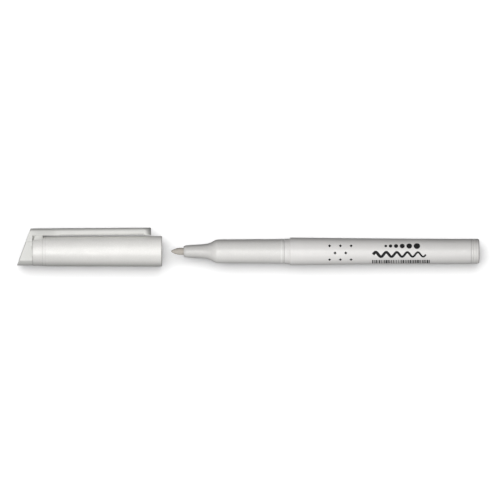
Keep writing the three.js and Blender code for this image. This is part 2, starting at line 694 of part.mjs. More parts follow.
// The part's own origin is under the middle of the whole, on the surface that it lies on
const marker = new THREE.Group();
marker.add(pen, cap);
const farLeft = capMouth - endFront - END_LENGTH_BOTTOM;
marker.position.set(
  -(farLeft + tailEnd) / 2,
  -(clipOuter + CLIP_LIFT - capMouthR) / 2,
  capMouthR,
);
const decoratingMarker = new THREE.Group();
decoratingMarker.name = 'decorating_marker';
decoratingMarker.add(marker);

export default decoratingMarker;
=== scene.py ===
import math

import bmesh
import bpy
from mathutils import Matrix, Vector


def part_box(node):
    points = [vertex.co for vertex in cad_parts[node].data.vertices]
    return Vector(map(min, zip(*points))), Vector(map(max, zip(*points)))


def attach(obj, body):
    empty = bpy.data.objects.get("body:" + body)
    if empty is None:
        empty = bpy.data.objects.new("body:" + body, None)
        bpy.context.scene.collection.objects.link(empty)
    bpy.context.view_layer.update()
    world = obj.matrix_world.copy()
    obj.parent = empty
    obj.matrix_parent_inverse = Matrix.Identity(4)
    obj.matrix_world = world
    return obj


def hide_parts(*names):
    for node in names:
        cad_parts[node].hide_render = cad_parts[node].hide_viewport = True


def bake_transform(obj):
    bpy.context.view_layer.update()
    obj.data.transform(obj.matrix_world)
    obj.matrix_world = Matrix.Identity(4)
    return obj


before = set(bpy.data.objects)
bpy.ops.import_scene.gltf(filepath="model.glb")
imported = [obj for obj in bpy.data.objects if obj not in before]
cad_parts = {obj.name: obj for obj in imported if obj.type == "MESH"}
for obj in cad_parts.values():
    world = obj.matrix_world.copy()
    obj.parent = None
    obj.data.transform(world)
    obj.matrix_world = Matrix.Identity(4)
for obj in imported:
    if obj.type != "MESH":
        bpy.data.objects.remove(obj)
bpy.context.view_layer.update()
scene = bpy.context.scene
scene.view_settings.view_transform = "Standard"


# Camera
# The marker lies on a white table and is seen from straight above, from far enough off that the
# cap and the pen show next to no perspective.
FIELD_WIDTH = 0.205
FRAME_MIDDLE = (0.00075, 0.00053)
CAMERA_HEIGHT = 4.0
SENSOR_WIDTH = 36
pen_low, pen_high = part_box("barrel")
axis_y = (pen_low.y + pen_high.y) / 2
axis_z = (pen_low.z + pen_high.z) / 2
camera_data = bpy.data.cameras.new("table_camera")
camera_data.sensor_width = SENSOR_WIDTH
camera_data.lens = SENSOR_WIDTH * CAMERA_HEIGHT / FIELD_WIDTH
camera = bpy.data.objects.new("table_camera", camera_data)
camera.location = (FRAME_MIDDLE[0], axis_y + FRAME_MIDDLE[1], axis_z + CAMERA_HEIGHT)
scene.collection.objects.link(camera)
scene.camera = camera


# Lamps
# Round skylights. The pen and the clip have a broad one from the side away from the clip and a
# small one overhead. The cap's tube has a broad one and a small one of its own, with the small one
# from that side. One more lights the table and lays the soft shadow below the marker.
def skylight(name, lean_x, lean_y, width, strength):
    """A round lamp far off, its lean from upright and its width in degrees."""
    lamp = bpy.data.lights.new(name, "SUN")
    lamp.angle = math.radians(width)
    lamp.energy = strength
    light = bpy.data.objects.new(name, lamp)
    toward = Vector((math.tan(math.radians(lean_x)), math.tan(math.radians(lean_y)), 1))
    light.rotation_euler = toward.to_track_quat("Z", "Y").to_euler()
    scene.collection.objects.link(light)
    return light


pen_light = skylight("pen_skylight", -14, -20, 54, 1.53)
pen_window = skylight("pen_window", -10, 3, 18, 0.65)
cap_light = skylight("cap_skylight", -8, 10, 50, 1.45)
cap_window = skylight("cap_window", -8, -16, 28, 0.75)
table_light = skylight("table_skylight", -10, 16, 66, 2.95)


# Table
# White laminate, large enough that its edge is never in view. The room round it is as white to
# the eye, and dimmer to all that it lights.
TABLE_HALF = 2.0
TABLE_GLOW = 0.03
TABLE_BOUNCE = 0.1
ROOM_LIGHT = 0.35
HORIZON_LIGHT = 0.0
HORIZON_TOP = 0.7
WHITE = (1, 1, 1, 1)


def add(tree, kind, wires=None, **settings):
    """A node with its inputs: plain values, sockets, or nodes, which give their first output."""
    made = tree.nodes.new(kind)
    for name, value in settings.items():
        setattr(made, name, value)
    for socket, value in (wires or {}).items():
        if isinstance(value, bpy.types.Node):
            value = value.outputs[0]
        if isinstance(value, bpy.types.NodeSocket):
            tree.links.new(value, made.inputs[socket])
        else:
            made.inputs[socket].default_value = value
    return made


def maths(tree, operation, *values):
    return add(tree, "ShaderNodeMath", dict(enumerate(values)), operation=operation)


def ranged(tree, value, start, end, low, high):
    """A value brought from the range start to end into the range low to high."""
    return add(tree, "ShaderNodeMapRange", {
        "Value": value, "From Min": start, "From Max": end, "To Min": low, "To Max": high})


def emptied(owner):
    """The node tree of a new material or world, without the nodes it starts with."""
    owner.use_nodes = True
    owner.node_tree.nodes.clear()
    return owner.node_tree


def new_material(name):
    material = bpy.data.materials.new(name)
    return material, emptied(material)


table_white, tree = new_material("table_white")
seen = add(tree, "ShaderNodeLightPath").outputs
by_eye = add(tree, "ShaderNodeBsdfDiffuse", {"Color": WHITE})
glow = add(tree, "ShaderNodeEmission", {"Color": WHITE, "Strength": TABLE_GLOW})
bright = add(tree, "ShaderNodeAddShader", {0: by_eye, 1: glow})
dim = add(tree, "ShaderNodeBsdfDiffuse", {"Color": (TABLE_BOUNCE,) * 3 + (1,)})
either = add(tree, "ShaderNodeMixShader", {0: seen["Is Camera Ray"], 1: dim, 2: bright})
add(tree, "ShaderNodeOutputMaterial", {"Surface": either})

room = bpy.data.worlds.new("white_room")
tree = emptied(room)
seen = add(tree, "ShaderNodeLightPath").outputs
toward = add(tree, "ShaderNodeTexCoord")
upward = add(tree, "ShaderNodeSeparateXYZ", {0: toward.outputs["Generated"]})
height = ranged(tree, upward.outputs["Z"], 0.0, HORIZON_TOP, HORIZON_LIGHT, ROOM_LIGHT)
mirrored = maths(tree, "MAXIMUM", seen["Is Glossy Ray"], seen["Is Transmission Ray"])
shown = maths(tree, "MAXIMUM", seen["Is Camera Ray"], mirrored)
strength = add(tree, "ShaderNodeMix", {0: shown, 2: height, 3: 1.0}, data_type="FLOAT")
sky = add(tree, "ShaderNodeBackground", {"Color": WHITE, "Strength": strength})
add(tree, "ShaderNodeOutputWorld", {"Surface": sky})
scene.world = room

table_mesh = bpy.data.meshes.new("table")
table_mesh.from_pydata(
    [(x * TABLE_HALF, y * TABLE_HALF, 0) for x, y in ((-1, -1), (1, -1), (1, 1), (-1, 1))],
    [], [(0, 1, 2, 3)])
table_mesh.materials.append(table_white)
table = bpy.data.objects.new("table", table_mesh)
scene.collection.objects.link(table)


# Barrel
# The handle of the pen and the tank for its paint: one long moulding in plastic filled with
# fine pearl flake, with a plain collar in front that the cap slides over, a step that stops the
# cap, and a taper that flattens out toward the tail.
MM = 0.001
STEP_BEHIND_FRONT = 2.3
step_x = pen_low.x + STEP_BEHIND_FRONT * MM
BARREL_LENGTH = 74.2
COLLAR_R = 5.15
STEP_R = 5.65
TAIL_R = 5.1
TAPER_POWER = 1.65
COUNTERBORE_R = 4.55
COUNTERBORE_END = 6.5
TANK_R = 3.9


def node_group(name, kind, inputs, outputs):
    """A node group with named sockets, each input a kind or a (kind, value to start with)."""
    tree = bpy.data.node_groups.new(name, kind)
    for way, sockets in (("INPUT", inputs), ("OUTPUT", outputs)):
        for socket, sort in sockets.items():
            sort, *start = sort if isinstance(sort, tuple) else (sort,)
            made = tree.interface.new_socket(
                name=socket, in_out=way, socket_type="NodeSocket" + sort)
            if start:
                made.default_value = start[0]
    return tree, add(tree, "NodeGroupInput").outputs


def bow(start, bend, end, steps):
    """Points of a bow from one point to another, drawn toward a third."""
    made = []
    for k in range(steps + 1):
        t = k / steps
        made.append(tuple(a * (1 - t) ** 2 + b * 2 * t * (1 - t) + c * t * t
                          for a, b, c in zip(start, bend, end)))
    return made


def softened(outline, bends=6):
    """An outline of (place, radius) in which a corner given a third number is rounded by it."""
    made = []
    for i, corner in enumerate(outline):
        if len(corner) == 2:
            made.append(corner)
            continue
        at = Vector(corner[:2])
        before = Vector(outline[i - 1][:2]) - at
        after = Vector(outline[(i + 1) % len(outline)][:2]) - at
        start = at + before.normalized() * min(corner[2], before.length)
        end = at + after.normalized() * min(corner[2], after.length)
        made += bow(start, at, end, bends)
    return made


def real_mesh(tree, work, material, lay=None):
    """The end of a Geometry Nodes tree: instances made real, laid in place and coated."""
    real = add(tree, "GeometryNodeRealizeInstances", {0: work})
    if lay:
        real = add(tree, "GeometryNodeGroup", {0: real}, node_tree=lay)
    coated = add(tree, "GeometryNodeSetMaterial", {"Geometry": real, "Material": material})
    add(tree, "NodeGroupOutput", {0: coated})


# The lathe that turns an outline round the axis
TO_X_AXIS = (0, math.pi / 2, 0)
CORE_R = 1
lathe, given = node_group("lathe", "GeometryNodeTree", {
    "Outline": "Geometry", "Steps round": ("Int", 160), "Core radius": ("Float", CORE_R * MM),
    "Axis": "Vector", "Finish": "Material"}, {"Turned piece": "Geometry"})
drawn = add(lathe, "GeometryNodeMeshToCurve", {"Mesh": given["Outline"]})
circle = add(lathe, "GeometryNodeCurvePrimitiveCircle",
             {"Resolution": given["Steps round"], "Radius": given["Core radius"]})
swept = add(lathe, "GeometryNodeCurveToMesh", {"Curve": circle, "Profile Curve": drawn})
welded = add(lathe, "GeometryNodeMergeByDistance", {"Geometry": swept, "Distance": 1e-6})
laid = add(lathe, "GeometryNodeTransform",
           {"Geometry": welded, "Translation": given["Axis"], "Rotation": TO_X_AXIS})
real_mesh(lathe, laid, given["Finish"])


def plain_mesh(piece):
    """Turns what a piece's modifiers give into its own mesh, and takes the modifiers off."""
    bpy.context.view_layer.update()
    made = bpy.data.meshes.new_from_object(
        piece.evaluated_get(bpy.context.evaluated_depsgraph_get()))
    piece.modifiers.clear()
    piece.data = made
    made.name = piece.name


def linked(name, mesh):
    piece = bpy.data.objects.new(name, mesh)
    scene.collection.objects.link(piece)
    return piece


def by_nodes(name, tree, settings, start=None):
    """A piece made by a Geometry Nodes tree, as a plain mesh."""
    piece = linked(name, start or bpy.data.meshes.new(name))
    maker = piece.modifiers.new(tree.name, "NODES")
    maker.node_group = tree
    sockets = {item.name: item.identifier for item in tree.interface.items_tree}
    for key, value in settings.items():
        maker[sockets[key]] = value
    plain_mesh(piece)
    return piece


def smooth(piece, sharp=32):
    """Faces outward, soft shading, and true edges kept crisp."""
    form = bmesh.new()
    form.from_mesh(piece.data)
    bmesh.ops.remove_doubles(form, verts=form.verts, dist=1e-7)
    bmesh.ops.recalc_face_normals(form, faces=form.faces)
    if form.calc_volume(signed=True) < 0:
        bmesh.ops.reverse_faces(form, faces=form.faces)
    form.to_mesh(piece.data)
    form.free()
    piece.data.shade_smooth()
    piece.data.set_sharp_from_angle(angle=math.radians(sharp))


def turned(name, outline, finish, closed=True, zero=step_x, way=1, steps=160):
    """A round piece from its outline of (place, radius) in millimetres along the pen or cap."""
    profile = bpy.data.meshes.new(name)
    points = [((radius - CORE_R) * MM, -way * place * MM, 0)
              for place, radius in softened(outline)]
    count = len(points)
    edges = [(i, (i + 1) % count) for i in range(count if closed else count - 1)]
    profile.from_pydata(points, edges, [])
    piece = by_nodes(name, lathe, {
        "Steps round": steps, "Core radius": CORE_R * MM, "Axis": (zero, axis_y, axis_z),
        "Finish": finish}, profile)
    smooth(piece)
    return piece


def place_on(tree):
    return add(tree, "ShaderNodeTexCoord").outputs["Object"]


def noise(tree, place, scale, detail):
    return add(tree, "ShaderNodeTexNoise", {"Vector": place, "Scale": scale, "Detail": detail})


def mixed(tree, share, first, second):
    """A colour between two, by a share that changes over the surface."""
    return add(tree, "ShaderNodeMix", {0: share, 6: first, 7: second}, data_type="RGBA").outputs[2]


def scaled(tree, vector, scale):
    return add(tree, "ShaderNodeVectorMath", {0: vector, "Scale": scale}, operation="SCALE")


# Pearl flake: single grains in the plastic that catch the light
pearl_flake, given = node_group("pearl flake", "ShaderNodeTree", {
    "Plastic": ("Color", (0.6, 0.6, 0.6, 1)), "Grain": ("Color", (0.9, 0.9, 0.9, 1)),
    "Grains per metre": ("Float", 6000), "Amount": ("Float", 0.5)},
    {"Color": "Color", "Glint": "Float"})
place = place_on(pearl_flake)
cells = add(pearl_flake, "ShaderNodeTexVoronoi",
            {"Vector": place, "Scale": given["Grains per metre"]})
chance = add(pearl_flake, "ShaderNodeSeparateColor", {0: cells.outputs["Color"]})
few = ranged(pearl_flake, chance, 0.55, 1.0, 0.0, 1.0)
glint = maths(pearl_flake, "MULTIPLY", few, given["Amount"])
drift = ranged(pearl_flake, noise(pearl_flake, place, 160.0, 3.0), 0.3, 0.7, 0.965, 1.0)
body = scaled(pearl_flake, given["Plastic"], drift)
add(pearl_flake, "NodeGroupOutput", {0: mixed(pearl_flake, glint, body, given["Grain"]), 1: glint})

# Handling: fine scratches along the piece and dull smudges from fingers
handling, given = node_group("handling marks", "ShaderNodeTree", {
    "Roughness": ("Float", 0.35), "Smudge": ("Float", 0.06), "Scratch": ("Float", 0.05)},
    {"Roughness": "Float", "Height": "Float"})
place = place_on(handling)
drawn_out = add(handling, "ShaderNodeMapping", {"Vector": place, "Scale": (90, 2600, 2600)})
thin = ranged(handling, noise(handling, drawn_out, 1.0, 2.0), 0.62, 0.75, 0.0, 1.0)
dull = ranged(handling, noise(handling, place, 210.0, 4.0), 0.4, 0.65, 0.0, 1.0)
smudged = maths(handling, "MULTIPLY_ADD", dull, given["Smudge"], given["Roughness"])
scratched = maths(handling, "MULTIPLY_ADD", thin, given["Scratch"], smudged)
relief = maths(handling, "MULTIPLY_ADD", thin, -0.5, noise(handling, place, 1500.0, 2.0))
add(handling, "NodeGroupOutput", {0: scratched, 1: relief})

# Line round the piece: a dark line at a seam, ring, rim or step, or a light line that is a painted
# highlight
line_round, given = node_group("line round", "ShaderNodeTree", {
    "Color": ("Color", (0.6, 0.6, 0.6, 1)), "Line place": "Float",
    "Half width": ("Float", 0.0003), "Depth": ("Float", 0.35),
    "Line": ("Color", (0.12, 0.115, 0.105, 1))}, {"Color": "Color"})
place = place_on(line_round)
along = add(line_round, "ShaderNodeSeparateXYZ", {0: place})
away = maths(line_round, "ABSOLUTE", maths(line_round, "SUBTRACT", along, given["Line place"]))
near = ranged(line_round, away, 0.0, given["Half width"], 1.0, 0.0)
uneven = ranged(line_round, noise(line_round, place, 700.0, 3.0), 0.3, 0.7, 0.4, 1.0)
patchy = maths(line_round, "MULTIPLY", near, uneven)
share = maths(line_round, "MULTIPLY", patchy, given["Depth"])
add(line_round, "NodeGroupOutput", {0: mixed(line_round, share, given["Color"], given["Line"])})

# Tone along: a piece that grows darker in one direction; it paints shade on the barrel, the
# section, the cap's tube and the clip's tip
tone_along, given = node_group("tone along", "ShaderNodeTree", {
    "Color": ("Color", (0.6, 0.6, 0.6, 1)), "Direction": ("Vector", (1, 0, 0)),
    "Dark place": "Float", "Clear place": ("Float", 1.0), "Share": ("Float", 0.9)},
    {"Color": "Color"})
along = add(tone_along, "ShaderNodeVectorMath",
            {0: place_on(tone_along), 1: given["Direction"]}, operation="DOT_PRODUCT")
fade = ranged(tone_along, along.outputs["Value"], given["Dark place"], given["Clear place"],
              given["Share"], 1.0)
add(tone_along, "NodeGroupOutput", {0: scaled(tone_along, given["Color"], fade)})


def effect(tree, inner, **wires):
    """One of the shared effects in a material, its inputs named with _ for a space."""
    return add(tree, "ShaderNodeGroup",
               {name.replace("_", " "): value for name, value in wires.items()}, node_tree=inner)


def skinned(tree, relief, strength, depth, settings):
    """The end of a material: its fine relief, and the shader with its settings."""
    bump = add(tree, "ShaderNodeBump", {"Strength": strength, "Distance": depth, "Height": relief})
    skin = add(tree, "ShaderNodeBsdfPrincipled", {"Normal": bump, **settings})
    add(tree, "ShaderNodeOutputMaterial", {"Surface": skin})


def pearl_plastic(name, plastic, grain, seams, tone, painted_light=(), roughness=0.35, metal=0.02):
    """Flake-filled plastic: dark lines round it, painted highlight lines, and a tone that darkens
    it from place to place.
    """
    material, tree = new_material(name)
    flake = effect(tree, pearl_flake, Plastic=plastic, Grain=grain, Amount=0.35)
    colour = flake
    for seam, depth in seams:
        colour = effect(tree, line_round, Color=colour, Line_place=seam, Depth=depth)
    # Light lines round the piece: painted highlights
    for highlight_place, depth in painted_light:
        colour = effect(tree, line_round, Color=colour, Line_place=highlight_place, Depth=depth,
                        Half_width=0.0005, Line=WHITE)
    dark, clear, share = tone
    toned = effect(tree, tone_along, Color=colour, Dark_place=dark, Clear_place=clear, Share=share)
    worn = effect(tree, handling, Roughness=roughness, Smudge=0.05, Scratch=0.06)
    shine = ranged(tree, flake.outputs["Glint"], 0.0, 1.0, metal, metal + 0.25)
    skinned(tree, worn.outputs["Height"], 0.25, 0.00003, {
        "Base Color": toned, "Metallic": shine, "Roughness": worn, "Specular IOR Level": 0.35})
    return material


PEN_PLASTIC = (0.735, 0.725, 0.705, 1)
BARREL_PLASTIC = (0.79, 0.777, 0.762, 1)
PEN_GRAIN = (0.86, 0.85, 0.83, 1)
# Painted shade: the barrel grows darker toward its tail and is clear at the step
barrel_finish = pearl_plastic("pearl_silver_barrel", BARREL_PLASTIC, PEN_GRAIN,
                              [(step_x, 0.1)], (pen_high.x, step_x, 0.88))
taper_places = [BARREL_LENGTH * i / 60 for i in range(1, 60)]
barrel = turned("barrel_shell", [
    (-STEP_BEHIND_FRONT, COUNTERBORE_R),
    (-STEP_BEHIND_FRONT, COLLAR_R, 0.12),
    (-0.1, COLLAR_R),
    (0, COLLAR_R - 0.04),
    (0, STEP_R, 0.14),
    *((place, TAIL_R + (STEP_R - TAIL_R) * (1 - place / BARREL_LENGTH) ** TAPER_POWER)
      for place in taper_places),
    (BARREL_LENGTH, TAIL_R, 0.1),
    (BARREL_LENGTH, TANK_R),
    (COUNTERBORE_END, TANK_R),
    (COUNTERBORE_END, COUNTERBORE_R),
], barrel_finish)
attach(barrel, "pen")
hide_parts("barrel")


# Print
# Black screen print on the barrel: a lattice of small diamonds, a row of dots that grow, one
# bold wave stroke and a row of fine ticks. The ink is a thin film on the curved plastic.
INK_FILM = 0.03

ink, tree = new_material("black_screen_ink")
worn = effect(tree, handling, Roughness=0.55, Smudge=0.1, Scratch=0.1)
mesh_marks = noise(tree, place_on(tree), 4000.0, 2.0)
ink_tone = mixed(tree, mesh_marks, (0.008, 0.008, 0.009, 1), (0.02, 0.02, 0.021, 1))
skinned(tree, mesh_marks, 0.3, 0.00002, {
    "Base Color": ink_tone, "Roughness": worn, "Specular IOR Level": 0.1})


def vector(tree, x=0.0, y=0.0, z=0.0):
    return add(tree, "ShaderNodeCombineXYZ", {0: x, 1: y, 2: z})


def summed(tree, first, second):
    return add(tree, "ShaderNodeVectorMath", {0: first, 1: second}, operation="ADD")


# Lays flat work on the barrel: x is the place behind the step, y the way round, z the height
on_barrel, given = node_group("lay on the barrel", "GeometryNodeTree", {
    "Flat work": "Geometry", "Tail radius": ("Float", TAIL_R * MM),
    "Rise to the step": ("Float", (STEP_R - TAIL_R) * MM),
    "Barrel length": ("Float", BARREL_LENGTH * MM), "Taper power": ("Float", TAPER_POWER),
    "Step on the axis": ("Vector", (step_x, axis_y, axis_z))}, {"Laid work": "Geometry"})
flat = add(on_barrel, "ShaderNodeSeparateXYZ", {0: add(on_barrel, "GeometryNodeInputPosition")})
behind = maths(on_barrel, "DIVIDE", flat.outputs["X"], given["Barrel length"])
left = maths(on_barrel, "SUBTRACT", 1.0, behind)
power = maths(on_barrel, "POWER", left, given["Taper power"])
radius = maths(on_barrel, "MULTIPLY_ADD", power, given["Rise to the step"], given["Tail radius"])
angle = maths(on_barrel, "DIVIDE", flat.outputs["Y"], radius)
height = maths(on_barrel, "ADD", radius, flat.outputs["Z"])
round_it = vector(on_barrel, flat.outputs["X"],
                  maths(on_barrel, "MULTIPLY", height, maths(on_barrel, "SINE", angle)),
                  maths(on_barrel, "MULTIPLY", height, maths(on_barrel, "COSINE", angle)))
laid = add(on_barrel, "GeometryNodeSetPosition",
           {"Geometry": given["Flat work"],
            "Position": summed(on_barrel, round_it, given["Step on the axis"])})
add(on_barrel, "NodeGroupOutput", {0: laid})


def print_tree(name, sizes):
    """The start of a tree for one printed motif, with its sizes as named inputs."""
    return node_group(name, "GeometryNodeTree", {
        **sizes, "Film": ("Float", INK_FILM * MM), "Ink": "Material"}, {"Printed": "Geometry"})


def printed(name, tree, sizes):
    piece = by_nodes(name, tree, {"Film": INK_FILM * MM, "Ink": ink, **sizes})
    smooth(piece)
    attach(piece, "pen")


# Diamonds in rows of three, two and three
diamonds, given = print_tree("diamond lattice", {
    "Middle": "Vector", "Pitch along": "Float", "Pitch round": "Float", "Half width": "Float"})
outer_rows = add(diamonds, "GeometryNodeMeshGrid",
                 {"Size X": maths(diamonds, "MULTIPLY", given["Pitch along"], 2.0),
                  "Size Y": maths(diamonds, "MULTIPLY", given["Pitch round"], 2.0),
                  "Vertices X": 3, "Vertices Y": 2})
pair = vector(diamonds, given["Pitch along"])
middle_row = add(diamonds, "GeometryNodeMeshLine",
                 {"Count": 2, "Start Location": scaled(diamonds, pair, -0.5), "Offset": pair})
rows = add(diamonds, "GeometryNodeJoinGeometry")
for row in (outer_rows, middle_row):
    diamonds.links.new(row.outputs["Mesh"], rows.inputs[0])
centred = add(diamonds, "GeometryNodeTransform", {"Geometry": rows, "Translation": given["Middle"]})
one = add(diamonds, "GeometryNodeMeshCylinder",
          {"Vertices": 4, "Fill Segments": 3, "Radius": given["Half width"],
           "Depth": given["Film"]})
many = add(diamonds, "GeometryNodeInstanceOnPoints", {"Points": centred, "Instance": one})
real_mesh(diamonds, many, given["Ink"], on_barrel)
printed("print_diamonds", diamonds, {
    "Middle": (20.6 * MM, -0.7 * MM, 0), "Pitch along": 4.4 * MM, "Pitch round": 3.0 * MM,
    "Half width": 0.64 * MM})

# Dots in a row, each a little larger than the one before, with an even gap
dots, given = print_tree("growing dots", {
    "Start": "Vector", "Count": "Int", "First width": "Float", "Growth": "Float", "Gap": "Float"})
spots = add(dots, "GeometryNodeMeshLine", {"Count": given["Count"], "Offset": (0, 0, 0)})
number = add(dots, "GeometryNodeInputIndex")
even = maths(dots, "MULTIPLY", number, maths(dots, "ADD", given["First width"], given["Gap"]))
grown = maths(dots, "MULTIPLY", maths(dots, "MULTIPLY", number, number),
              maths(dots, "MULTIPLY", given["Growth"], 0.5))
along_row = vector(dots, maths(dots, "ADD", even, grown))
placed = add(dots, "GeometryNodeSetPosition",
             {"Geometry": spots, "Position": summed(dots, along_row, given["Start"])})
wide = maths(dots, "MULTIPLY_ADD", number, given["Growth"], given["First width"])
one = add(dots, "GeometryNodeMeshCylinder",
          {"Vertices": 32, "Fill Segments": 5, "Radius": 0.5, "Depth": 1.0})
many = add(dots, "GeometryNodeInstanceOnPoints",
           {"Points": placed, "Instance": one, "Scale": vector(dots, wide, wide, given["Film"])})
real_mesh(dots, many, given["Ink"], on_barrel)
printed("print_growing_dots", dots, {
    "Start": (39.2 * MM, 2.25 * MM, 0), "Count": 6, "First width": 1.1 * MM,
    "Growth": 0.3 * MM, "Gap": 0.7 * MM})

# One wave stroke, bold at its start and finer toward its end
wave, given = print_tree("wave stroke", {
    "Start": "Vector", "Length": "Float", "Waves": "Float", "Swing": "Float",
    "Bold width": "Float", "Fine width": "Float"})
line = add(wave, "GeometryNodeCurvePrimitiveLine", {"End": vector(wave, given["Length"])})
fine_line = add(wave, "GeometryNodeResampleCurve", {"Curve": line, "Count": 240})
share = add(wave, "GeometryNodeSplineParameter").outputs["Factor"]
turns = maths(wave, "MULTIPLY", share, maths(wave, "MULTIPLY", given["Waves"], 2 * math.pi))
swing = maths(wave, "MULTIPLY", maths(wave, "SINE", turns), given["Swing"])
curved = add(wave, "GeometryNodeSetPosition",
             {"Geometry": fine_line, "Offset": summed(wave, vector(wave, y=swing), given["Start"])})
nib_shape = add(wave, "GeometryNodeCurvePrimitiveQuadrilateral",
                {"Width": given["Bold width"], "Height": given["Film"]})
thin_part = maths(wave, "DIVIDE", given["Fine width"], given["Bold width"])
slim = maths(wave, "MULTIPLY_ADD", share, maths(wave, "SUBTRACT", thin_part, 1.0), 1.0)
stroke = add(wave, "GeometryNodeCurveToMesh",
             {"Curve": curved, "Profile Curve": nib_shape, "Scale": slim, "Fill Caps": True})
finer = add(wave, "GeometryNodeSubdivideMesh", {"Mesh": stroke, "Level": 1})
real_mesh(wave, finer, given["Ink"], on_barrel)
printed("print_wave_stroke", wave, {
    "Start": (34.0 * MM, -1.35 * MM, 0), "Length": 21.6 * MM, "Waves": 5.0, "Swing": 0.95 * MM,
    "Bold width": 1.25 * MM, "Fine width": 0.7 * MM})

# Ticks of uneven width in an even row
ticks, given = print_tree("tick row", {
    "Start": "Vector", "Count": "Int", "Pitch": "Float", "Tick height": "Float",
    "Least width": "Float", "Greatest width": "Float", "Seed": "Int"})
spots = add(ticks, "GeometryNodeMeshLine",
            {"Count": given["Count"], "Start Location": given["Start"],
             "Offset": vector(ticks, given["Pitch"])})
width = add(ticks, "FunctionNodeRandomValue",
            {"Min": given["Least width"], "Max": given["Greatest width"], "Seed": given["Seed"]},
            data_type="FLOAT")
size = vector(ticks, width.outputs["Value"], given["Tick height"], given["Film"])
one = add(ticks, "GeometryNodeMeshCube",
          {"Size": (1, 1, 1), "Vertices X": 2, "Vertices Y": 6, "Vertices Z": 2})
many = add(ticks, "GeometryNodeInstanceOnPoints", {"Points": spots, "Instance": one, "Scale": size})
real_mesh(ticks, many, given["Ink"], on_barrel)
printed("print_tick_row", ticks, {
    "Start": (33.9 * MM, -5.1 * MM, 0), "Count": 34, "Pitch": 0.7 * MM, "Tick height": 2.4 * MM,
    "Least width": 0.22 * MM, "Greatest width": 0.6 * MM, "Seed": 4})


# Tail plug
# The moulded stopper that closes the tank: a head flush with the barrel, its end well rounded,
# with two fine rings round it, and a thin-walled spigot pressed into the tank's bore.
PLUG_FRONT = 74.27
PLUG_END = 77.6
PLUG_SPIGOT_R = 3.6
PLUG_SPIGOT_FRONT = 68.2
PLUG_HOLLOW_R = 2.7
PLUG_HOLLOW_END = 75.9
RINGS = (75.0, 76.1)
RING_WIDTH = 0.26
RING_DEPTH = 0.1
RING_MIDDLES = [place + RING_WIDTH / 2 for place in RINGS]

plug_side = []
for place in RINGS:
    plug_side += [(place, TAIL_R), (place + RING_WIDTH / 2, TAIL_R - RING_DEPTH),
                  (place + RING_WIDTH, TAIL_R)]
plug_finish = pearl_plastic("pearl_silver_plug", PEN_PLASTIC, PEN_GRAIN,
                            [(step_x + place * MM, 0.2) for place in (PLUG_FRONT, *RING_MIDDLES)],
                            (step_x + PLUG_FRONT * MM, step_x, 0.94))
tail_plug = turned("tail_plug_head", [
    (PLUG_END, 0),
    (PLUG_END, TAIL_R, 0.85),
    *reversed(plug_side),
    (PLUG_FRONT, TAIL_R, 0.08),
    (PLUG_FRONT, PLUG_SPIGOT_R),
    (PLUG_SPIGOT_FRONT, PLUG_SPIGOT_R, 0.15),
    (PLUG_SPIGOT_FRONT, PLUG_HOLLOW_R),
    (PLUG_HOLLOW_END, PLUG_HOLLOW_R, 0.2),
    (PLUG_HOLLOW_END, 0),
], plug_finish, closed=False)
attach(tail_plug, "pen")
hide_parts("tail_plug")


# Front section
# One moulding pushed into the barrel: a slim nose that guides the nib, a hollow-curved shoulder,
# the long grip, and a raised bead that snaps into the cap. A short lip behind the bead meets
# the barrel's collar.
NOSE_FRONT = -43.6
NOSE_BACK = -36.9
GRIP_FRONT = -29.2
GRIP_BACK = -3.7
BEAD_BACK = -3.1
SECTION_BACK = -2.38
NOSE_R = 2.55
NECK_R = 2.8
GRIP_FRONT_R = 4.88
GRIP_BACK_R = 5.025
NIB_BORE_R = 1.75
NIB_BORE_BACK = -33.435
STEM_BORE_R = 2.8
STEM_BORE_FRONT = -31.935
SEAT_LEDGE = -0.5
SEAT_BORE_R = 3.6
TENON_R = 4.25
TENON_BACK = 4.0


def on_shoulder(length_share, rise_share):
    """A point on the shoulder, by its shares of the shoulder's length and rise."""
    return (NOSE_BACK + length_share * (GRIP_FRONT - NOSE_BACK),
            NECK_R + rise_share * (GRIP_FRONT_R - NECK_R))


# Painted shade: the nose and the front of the shoulder are a shade darker, clearing toward the
# grip. A painted highlight line runs round the bead.
section_finish = pearl_plastic(
    "pearl_silver_section", PEN_PLASTIC, PEN_GRAIN, [(step_x + SECTION_BACK * MM, 0.1)],
    (step_x + on_shoulder(0.4, 0)[0] * MM, step_x + (GRIP_FRONT - 2) * MM, 0.84),
    painted_light=[(step_x + (GRIP_BACK + BEAD_BACK) / 2 * MM, 0.45)])
front_section = turned("front_section_moulding", [
    (NOSE_FRONT, NIB_BORE_R, 0.08),
    *bow((NOSE_FRONT, NIB_BORE_R + 0.2), (NOSE_FRONT + 0.3, NOSE_R - 0.05),
         (NOSE_FRONT + 2.8, NOSE_R + 0.05), 8),
    *bow((NOSE_BACK, NECK_R), on_shoulder(0.5, 0.12), on_shoulder(0.65, 0.54), 12),
    (*on_shoulder(0.87, 0.98), 0.5),
    (GRIP_FRONT, GRIP_FRONT_R),
    (GRIP_BACK - 0.05, GRIP_BACK_R),
    (GRIP_BACK, GRIP_BACK_R),
    (GRIP_BACK, COLLAR_R - 0.03, 0.05),
    (GRIP_BACK + 0.3, COLLAR_R),
    (BEAD_BACK, COLLAR_R - 0.02, 0.08),
    (BEAD_BACK, COLLAR_R - 0.12),
    (SECTION_BACK, COLLAR_R - 0.12, 0.05),
    (SECTION_BACK, TENON_R),
    (TENON_BACK, TENON_R, 0.15),
    (TENON_BACK, SEAT_BORE_R),
    (SEAT_LEDGE, SEAT_BORE_R),
    (SEAT_LEDGE, STEM_BORE_R),
    (STEM_BORE_FRONT, STEM_BORE_R),
    (NIB_BORE_BACK, NIB_BORE_R),
], section_finish)
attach(front_section, "pen")
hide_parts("front_section")


